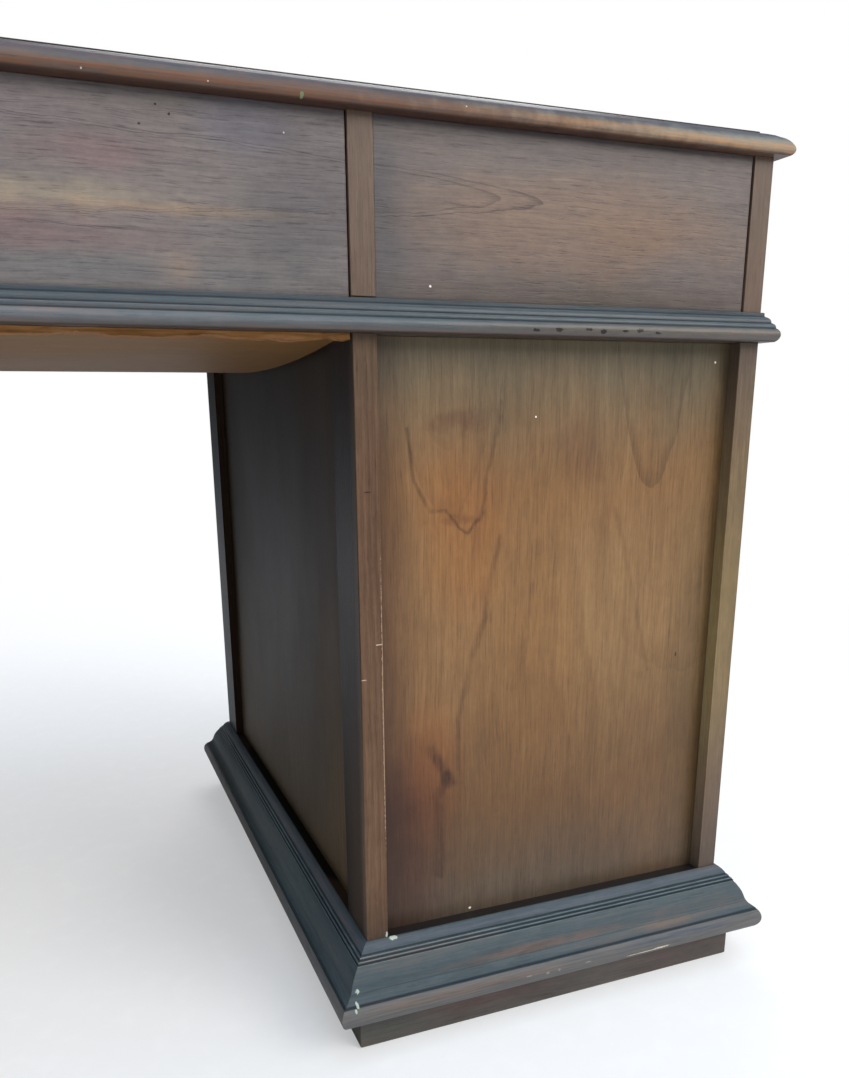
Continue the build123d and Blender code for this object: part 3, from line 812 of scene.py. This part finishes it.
edge_wood = wood("edge_wood", "zxy", ORIGIN, EDGE, pith=0.3, tilt=0.01, ring=0.004)
for hand, side in HANDS:
    node = hand + "_pedestal_kneehole_side_frame"
    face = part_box(node)[1].x if side > 0 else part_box(node)[0].x
    finishes[node] = wood(
        node,
        "zxy",
        ORIGIN,
        EDGE,
        pith=0.3,
        tilt=0.01,
        ring=0.004,
        tints=[
            # Painted shade darkens the kneehole face's skin and the whole frame but its back edge,
            # a cool painted sheen lightens the face low down near the back, and more painted shade
            # darkens the foot.
            ((face, 0.0, 0.3), SKIN, (0.50, 0.50, 0.50), 0.0, 9.0, 0.7),
            ((face, 0.0, 0.3), (0.03, 0.3215, ALL), (0.32, 0.30, 0.28), 0.0, 9.0, 0.05),
            ((face, 0.31, 0.12), (0.0012, 0.05, 0.26), (2.6, 2.9, 3.0), 0.0, 9.0, 0.9),
            ((side * -0.325, 0.0, 0.06), (0.06, 0.318, 0.05), (0.16, 0.18, 0.20), 0.0, 9.0, 0.05),
            ((side * -0.316, 0.32, 0.30), (0.05, 0.05, ALL), (1.25, 1.14, 1.06), 0.0, 9.0, 0.05),
            ((side * -0.316, 0.32, 0.06), (0.05, 0.05, 0.12), (0.52, 0.58, 0.66), 0.4, 9.0, 0.9),
            ((side * -0.316, 0.32, 0.600), (0.05, 0.05, 0.10), (0.80, 0.92, 1.0), 0.4, 9.0, 0.9),
        ],
        marks=[
            ((side * -0.3250, 0.320, 0.300), (0.0011, 0.004, 0.130), SCRATCH),
            ((side * -0.3225, 0.320, 0.3600), (0.0036, 0.004, 0.0006), NICK),
            ((side * -0.3085, 0.320, 0.3320), (0.0026, 0.004, 0.0005), NICK),
            ((side * -0.3150, 0.320, 0.4800), (0.0030, 0.004, 0.0006), (0.04, 0.02, 0.015)),
            ((side * -0.3240, 0.320, 0.0990), (0.0012, 0.010, 0.0030), PALE_PAINT),
        ],
        gloss=0.05,
        coat=0.0,
    )
    print(node, "darkened on its face at x =", round(face, 3))
    node = hand + "_pedestal_outer_side_frame"
    finishes[node] = wood(
        node,
        "zxy",
        ORIGIN,
        EDGE,
        pith=0.3,
        tilt=0.01,
        tints=[
            ((side * -0.66, 0.32, 0.37), (0.10, 0.10, 0.24), (1.64, 1.74, 1.16), 0.3, 9.0, 0.9),
            ((side * -0.66, 0.32, 0.62), (0.10, 0.10, 0.12), (0.80, 0.88, 0.92), 0.3, 9.0, 0.9),
            ((side * -0.66, 0.32, 0.06), (0.10, 0.10, 0.12), (0.60, 0.66, 0.70), 0.4, 9.0, 0.9),
            # Painted light on the stile's inner face, the wall of the panel's recess.
            ((side * -0.655, 0.30, 0.24), (0.0012, 0.05, 0.36), (1.85, 2.00, 2.00), 0.0, 9.0, 0.8),
        ],
    )

# %% Side panels
for hand, side in HANDS:
    node = hand + "_pedestal_side_panels"
    finishes[node] = wood(
        node,
        "zyx",
        middle(node),
        GOLDEN,
        pith=0.09,
        ring=0.009,
        ring_force=0.08,
        tints=[
            # The kneehole side is painted dark as shade, with a cool painted sheen on its lower
            # part and painted light toward the open back.
            ((side * -0.319, 0.0, 0.3), (0.03, ALL, ALL), (0.130, 0.152, 0.190), 0.0, 9.0, 0.5),
            ((side * -0.319, 0.0, 0.0), (0.03, ALL, 0.42), (3.90, 4.60, 5.80), 0.3, 6.0, 0.9),
            ((side * -0.319, 0.27, 0.4), (0.03, 0.20, 0.40), (1.25, 1.05, 0.76), 0.3, 6.0, 0.8),
            ((side * -0.661, 0.0, 0.62), (0.03, ALL, 0.17), (0.50, 0.66, 0.90), 0.3, 7.0, 0.7),
            ((side * -0.661, 0.0, 0.02), (0.03, ALL, 0.28), (0.42, 0.54, 0.80), 0.3, 7.0, 0.8),
            ((side * -0.661, 0.0, 0.3), (0.03, ALL, ALL), (0.80, 0.80, 0.84), 0.0, 7.0, 0.5),
        ],
        rough=0.50,
        gloss=0.06,
        coat=0.0,
    )
print("side panels are dark to the kneehole and browner outside")

# %% Drawer fronts and top
front_wood = wood(
    "front_wood",
    "xzy",
    (0, 0, 0.3),
    GOLDEN,
    pith=0.05,
    tilt=0.05,
    ring=0.009,
    ring_force=0.20,
    fibre_force=0.65,
    cloud_force=0.45,
    arches=[
        ((side * 0.49, z - 0.3), side * 60.0, 0.05, 0.16, 0.16)
        for side in (-1.0, 1.0)
        for z in (0.24, 0.50, 0.68)
    ]
    + [((0.05, 0.38), 50.0, 0.06, 0.20, 0.14)],
    tints=[
        ((0, -0.32, 0.30), (ALL, ALL, ALL), (0.56, 0.52, 0.52), 0.0),
        ((0, -0.32, 0.68), (0.9, ALL, 0.07), (0.80, 0.90, 1.05), 0.3, 9.0, 0.7),
        ((0, -0.32, 0.10), (0.9, ALL, 0.12), (0.62, 0.70, 0.85), 0.3, 9.0, 0.7),
    ],
)
finishes["top_panel"] = wood(
    "top_panel",
    "xyz",
    middle("top_panel"),
    GOLDEN,
    pith=0.05,
    tilt=0.03,
    ring=0.012,
    ring_force=0.14,
    tints=[
        ((0, 0, 0.75), (ALL, ALL, ALL), (0.50, 0.44, 0.42), 0.0),
        ((0.15, -0.10, 0.7585), (0.45, 0.22, 1.0), (1.35, 1.35, 1.35), 0.4, 6.0, 0.95),
        ((-0.40, 0.10, 0.7585), (0.12, 0.10, 1.0), (1.20, 1.15, 1.10), 0.5, 8.0, 0.95),
    ],
    rough=0.38,
)
print("drawer fronts and top are veneered")

# %% Rails and bare wood
BARE = ((0.09, 0.045, 0.016), (0.185, 0.098, 0.034), (0.30, 0.185, 0.080))
TORN = ((0.060, 0.020, 0.006), (0.260, 0.115, 0.036), (0.44, 0.24, 0.10))
PALE = ((0.20, 0.14, 0.08), (0.42, 0.31, 0.19), (0.60, 0.47, 0.31))
# The rails' finish is darkened all over as painted shade.
dark_rail_wood = wood(
    "dark_rail_wood",
    "xzy",
    ORIGIN,
    EDGE,
    pith=0.2,
    tilt=0.02,
    tints=[((0, 0, 0.3), (ALL, ALL, ALL), (0.10, 0.12, 0.16), 0.0)],
)
sheet_wood = wood(
    "sheet_wood",
    "xyz",
    (0, 0, 0.6),
    BARE,
    rough=0.6,
    coat=0.0,
    gloss=0.1,
    ring=0.02,
    ring_force=0.06,
    fibre_force=0.25,
    streak_force=0.15,
    tints=[((0, 0, 0.6), (ALL, ALL, ALL), (1.0, 0.90, 0.76), 0.0)],
)
drawer_wood = wood("drawer_wood", "yzx", ORIGIN, PALE, rough=0.55, coat=0.0, ring=0.004)
frame_wood = wood("frame_wood", "xyz", ORIGIN, BARE, rough=0.6, coat=0.0)
torn_wood = wood(
    "torn_wood",
    "xyz",
    (0, 0, 0.6),
    TORN,
    fibre_force=1.2,
    streak_force=0.7,
    rough=0.8,
    coat=0.0,
    gloss=0.1,
)
print("the rails are dark, and the drawers and sheets bare")

# %% A finish for every node


def finish_of(name):
    """The finish of a node, by what the piece is."""
    if name in finishes:
        return finishes[name]
    if name.endswith("drawer_front") or "knob" in name:
        return front_wood
    if name.startswith(("frieze_end", "frieze_partition")):
        return edge_wood
    if name.endswith("rails_and_runners"):
        return dark_rail_wood
    if name == "kneehole_dust_sheet" or name.endswith("drawer_bottom"):
        return sheet_wood
    if name.endswith(("drawer_sides", "drawer_back")):
        return drawer_wood
    return frame_wood


for name, node in nodes.items():
    node.data.materials.clear()
    node.data.materials.append(finish_of(name))
print(len({finish_of(name).name for name in nodes}), "finishes on", len(nodes), "nodes")

# %% [markdown]
# ## Softened arrises
# No maker leaves a board's corner sharp: two strokes of sandpaper round it by less than a
# millimetre, and that tiny round catches a line of light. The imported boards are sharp, and
# their meshes are loose triangles, so a copy of each is merged, its flat faces are joined, and
# its sharp edges are bevelled. A Bevel modifier would do it too, but the operator returns the
# new faces, and those get the attribute that the wear reads.


# %% Soften the boards
ARRIS = 0.0007
SHARP = math.radians(40)  # a corner that turns more than this is an arris
SAME_PLACE = 1e-6
SAME_PLANE = 0.01
shaped = ("moulding", "edging", "knob", "dowels", "dust_sheet")


def soften(name):
    """Put a copy of a node with rounded arrises in its place, and count its faces."""
    node = nodes[name]
    shape = bmesh.new()
    shape.from_mesh(node.data)
    bmesh.ops.remove_doubles(shape, verts=shape.verts, dist=SAME_PLACE)
    bmesh.ops.dissolve_limit(
        shape, angle_limit=SAME_PLANE, verts=shape.verts, edges=shape.edges
    )
    arris = shape.faces.layers.float.new("arris")
    sharp = [e for e in shape.edges if len(e.link_faces) == 2 and e.calc_face_angle() > SHARP]
    made = bmesh.ops.bevel(
        shape,
        geom=sharp,
        offset=ARRIS,
        offset_type="OFFSET",
        affect="EDGES",
        segments=2,
        profile=0.5,
        material=-1,
        clamp_overlap=True,
    )
    for face in made["faces"]:
        face[arris] = 1.0
    mesh = bpy.data.meshes.new(name + "_soft")
    shape.to_mesh(mesh)
    shape.free()
    mesh.materials.append(finish_of(name))
    piece = bpy.data.objects.new(name + "_soft", mesh)
    scene.collection.objects.link(piece)
    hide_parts(name)
    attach(piece, node.parent.name.split(":")[1])
    return len(mesh.polygons)


faces = {n: soften(n) for n in sorted(nodes) if not any(word in n for word in shaped)}
print(len(faces), "boards softened,", sum(faces.values()), "faces")

# %% [markdown]
# ## The torn edge under the kneehole
# Behind the waist moulding the thin sheet's edge shows as a strip of raw orange wood, chipped
# all along. A strip could be drawn in the finish, but its broken outline stands against the
# dark side of the pedestal, so it is real. One cube is stretched to the strip, cut across many
# times, and the points of its lower edge are moved up and down by a noise, which gives the
# same heights on each run. A few deeper bites take the place of single chips.

# %% Torn edge
TORN_HIGH, TORN_LOW = 0.5938, 0.5893
torn_x, torn_y = (-0.3052, 0.3052), (0.3002, 0.3180)
TORN_CUTS = 260
LONG_EDGE = 0.1
DEEP_NOISE, FINE_NOISE = 0.0010, 0.0007
LOWEST = -0.0012  # how far a point may hang below the strip
bites = [  # the place along x, the width and the depth of each
    (-0.292, 0.010, 0.0022),
    (-0.262, 0.014, -0.0012),
    (-0.205, 0.020, 0.0018),
    (-0.12, 0.03, 0.0016),
    (-0.03, 0.012, 0.0024),
    (0.06, 0.03, 0.0015),
    (0.15, 0.015, 0.0022),
    (0.25, 0.02, 0.0018),
]

shape = bmesh.new()
bmesh.ops.create_cube(shape, size=1.0)
size = Vector((torn_x[1] - torn_x[0], torn_y[1] - torn_y[0], TORN_HIGH - TORN_LOW))
bmesh.ops.scale(shape, vec=size, verts=shape.verts)
where = Vector((0.0, sum(torn_y) / 2, (TORN_HIGH + TORN_LOW) / 2))
bmesh.ops.translate(shape, vec=where, verts=shape.verts)
long_edges = [e for e in shape.edges if e.calc_length() > LONG_EDGE]
bmesh.ops.subdivide_edges(shape, edges=long_edges, cuts=TORN_CUTS, use_grid_fill=True)
for vert in shape.verts:
    if vert.co.z > where.z:
        continue
    x, y = vert.co.x, vert.co.y
    rise = DEEP_NOISE * noise.noise((x * 90.0, y * 200.0, 3.0))
    rise += FINE_NOISE * noise.noise((x * 420.0, y * 300.0, 7.0))
    for bite_x, wide, deep in bites:
        rise += deep * math.exp(-(((x - bite_x) / wide) ** 2) * 3.0)
    vert.co.z += max(rise, LOWEST)
bmesh.ops.recalc_face_normals(shape, faces=shape.faces)
mesh = bpy.data.meshes.new("torn_sheet_edge")
shape.to_mesh(mesh)
shape.free()
mesh.materials.append(torn_wood)
torn_edge = bpy.data.objects.new("torn_sheet_edge", mesh)
scene.collection.objects.link(torn_edge)
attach(torn_edge, "carcase")
print("torn edge of", len(mesh.polygons), "faces")

# %% [markdown]
# ## Floor and light
# A plain pale floor and soft light from above and behind the camera, like an open garage door
# under a clear sky. A large lamp gives the sheen and a cool sky gives the grey blue on every
# surface that leans back. The world is darker on the drawer side, so the kneehole stays deep, and
# a weaker lamp there keeps the drawers readable. For the camera only, the floor glows: in part
# next to the desk, a painted light that pales the desk's shadow on it, and fully white far from
# it, so no horizon shows behind it.

# %% Floor
WHITE = (1.0, 1.0, 1.0, 1.0)
FLOOR_HALF = 60.0
FADE_STARTS, FADE_ENDS = 0.6, 2.4  # metres from the desk's middle
# The share of glow next to the desk, a painted light that pales its shadow on the floor.
FADE_LEAST = 0.4
scene.view_settings.view_transform = "Standard"
floor_mesh = bpy.data.meshes.new("floor")
shape = bmesh.new()
bmesh.ops.create_grid(shape, x_segments=1, y_segments=1, size=FLOOR_HALF)
shape.to_mesh(floor_mesh)
shape.free()
floor = bpy.data.objects.new("floor", floor_mesh)
scene.collection.objects.link(floor)
floor_finish = Finish("pale_floor")
speck = floor_finish.noise(floor_finish.place, 40.0, 4.0)
floor_colour = floor_finish.ramp(speck, ((0.0, (0.78, 0.78, 0.78)), (0.3, (0.82, 0.82, 0.82))))
floor_mesh.materials.append(floor_finish.finish(floor_colour, 0.8, speck, 0.0002, gloss=0.2))
away = floor_finish.vector("LENGTH", floor_finish.place)
seen = floor_finish.add("LightPath").outputs["Is Camera Ray"]
fade = floor_finish.step(away, FADE_STARTS, FADE_ENDS)
fade = floor_finish.math("MULTIPLY_ADD", fade, 1.0 - FADE_LEAST, FADE_LEAST)
fade = floor_finish.math("MULTIPLY", fade, seen)
glow = floor_finish.add("Emission", WHITE, 1.0)
blend = floor_finish.add("MixShader", fade, floor_finish.surface.outputs[0], glow.outputs[0])
output = floor_finish.tree.nodes["Material Output"]
floor_finish.tree.links.new(blend.outputs[0], output.inputs["Surface"])
print("floor fades to white from", FADE_STARTS, "to", FADE_ENDS, "m")

# %% Sky
TOWARD_LIGHT = (-0.05, 0.25, 0.75)
LOW_SKY, HIGH_SKY = (0.10, 0.10, 0.10, 1.0), (0.72, 0.84, 1.0, 1.0)
world = bpy.data.worlds.new("soft_sky")
scene.world = world
world.use_nodes = True
sky = world.node_tree


def sky_node(kind):
    return sky.nodes.new("ShaderNode" + kind)


direction = sky_node("TexCoord")
lean = sky_node("VectorMath")
lean.operation = "DOT_PRODUCT"
lean.inputs[1].default_value = TOWARD_LIGHT
sky.links.new(direction.outputs["Generated"], lean.inputs[0])
rise = sky_node("ValToRGB")
sky.links.new(lean.outputs["Value"], rise.inputs[0])
band = rise.color_ramp.elements
band[0].position, band[0].color = 0.0, LOW_SKY
band[1].position, band[1].color = 0.75, HIGH_SKY
seen = sky_node("Mix")
seen.data_type = "RGBA"
ray = sky_node("LightPath")
sky.links.new(ray.outputs["Is Camera Ray"], seen.inputs["Factor"])
sky.links.new(rise.outputs[0], seen.inputs[MIX_FIRST])
seen.inputs[MIX_SECOND].default_value = WHITE
sky.links.new(seen.outputs[MIX_RESULT], sky.nodes["Background"].inputs["Color"])
print("sky of", len(sky.nodes), "nodes")


# %% Lamps
def soft_lamp(name, place, aim, size, power, colour):
    """A square lamp of `size` metres at a place, turned to face its aim."""
    lamp = bpy.data.lights.new(name, "AREA")
    lamp.size, lamp.energy, lamp.color = size, power, colour
    holder = bpy.data.objects.new(name, lamp)
    scene.collection.objects.link(holder)
    toward = (Vector(aim) - Vector(place)).to_track_quat("-Z", "Y")
    holder.matrix_world = Matrix.Translation(place) @ toward.to_matrix().to_4x4()
    print(name, power, "W")


soft_lamp("key", (-2.2, 2.8, 2.4), (-0.4, 0.3, 0.4), 2.0, 110.0, (1.0, 0.95, 0.88))
soft_lamp("sky_panel", (0.0, 1.2, 3.2), (0.0, 0.0, 0.3), 2.6, 45.0, (0.80, 0.90, 1.0))
soft_lamp("front_fill", (-1.5, -3.0, 2.4), (0.0, -0.3, 0.4), 2.2, 70.0, (1.0, 0.97, 0.93))
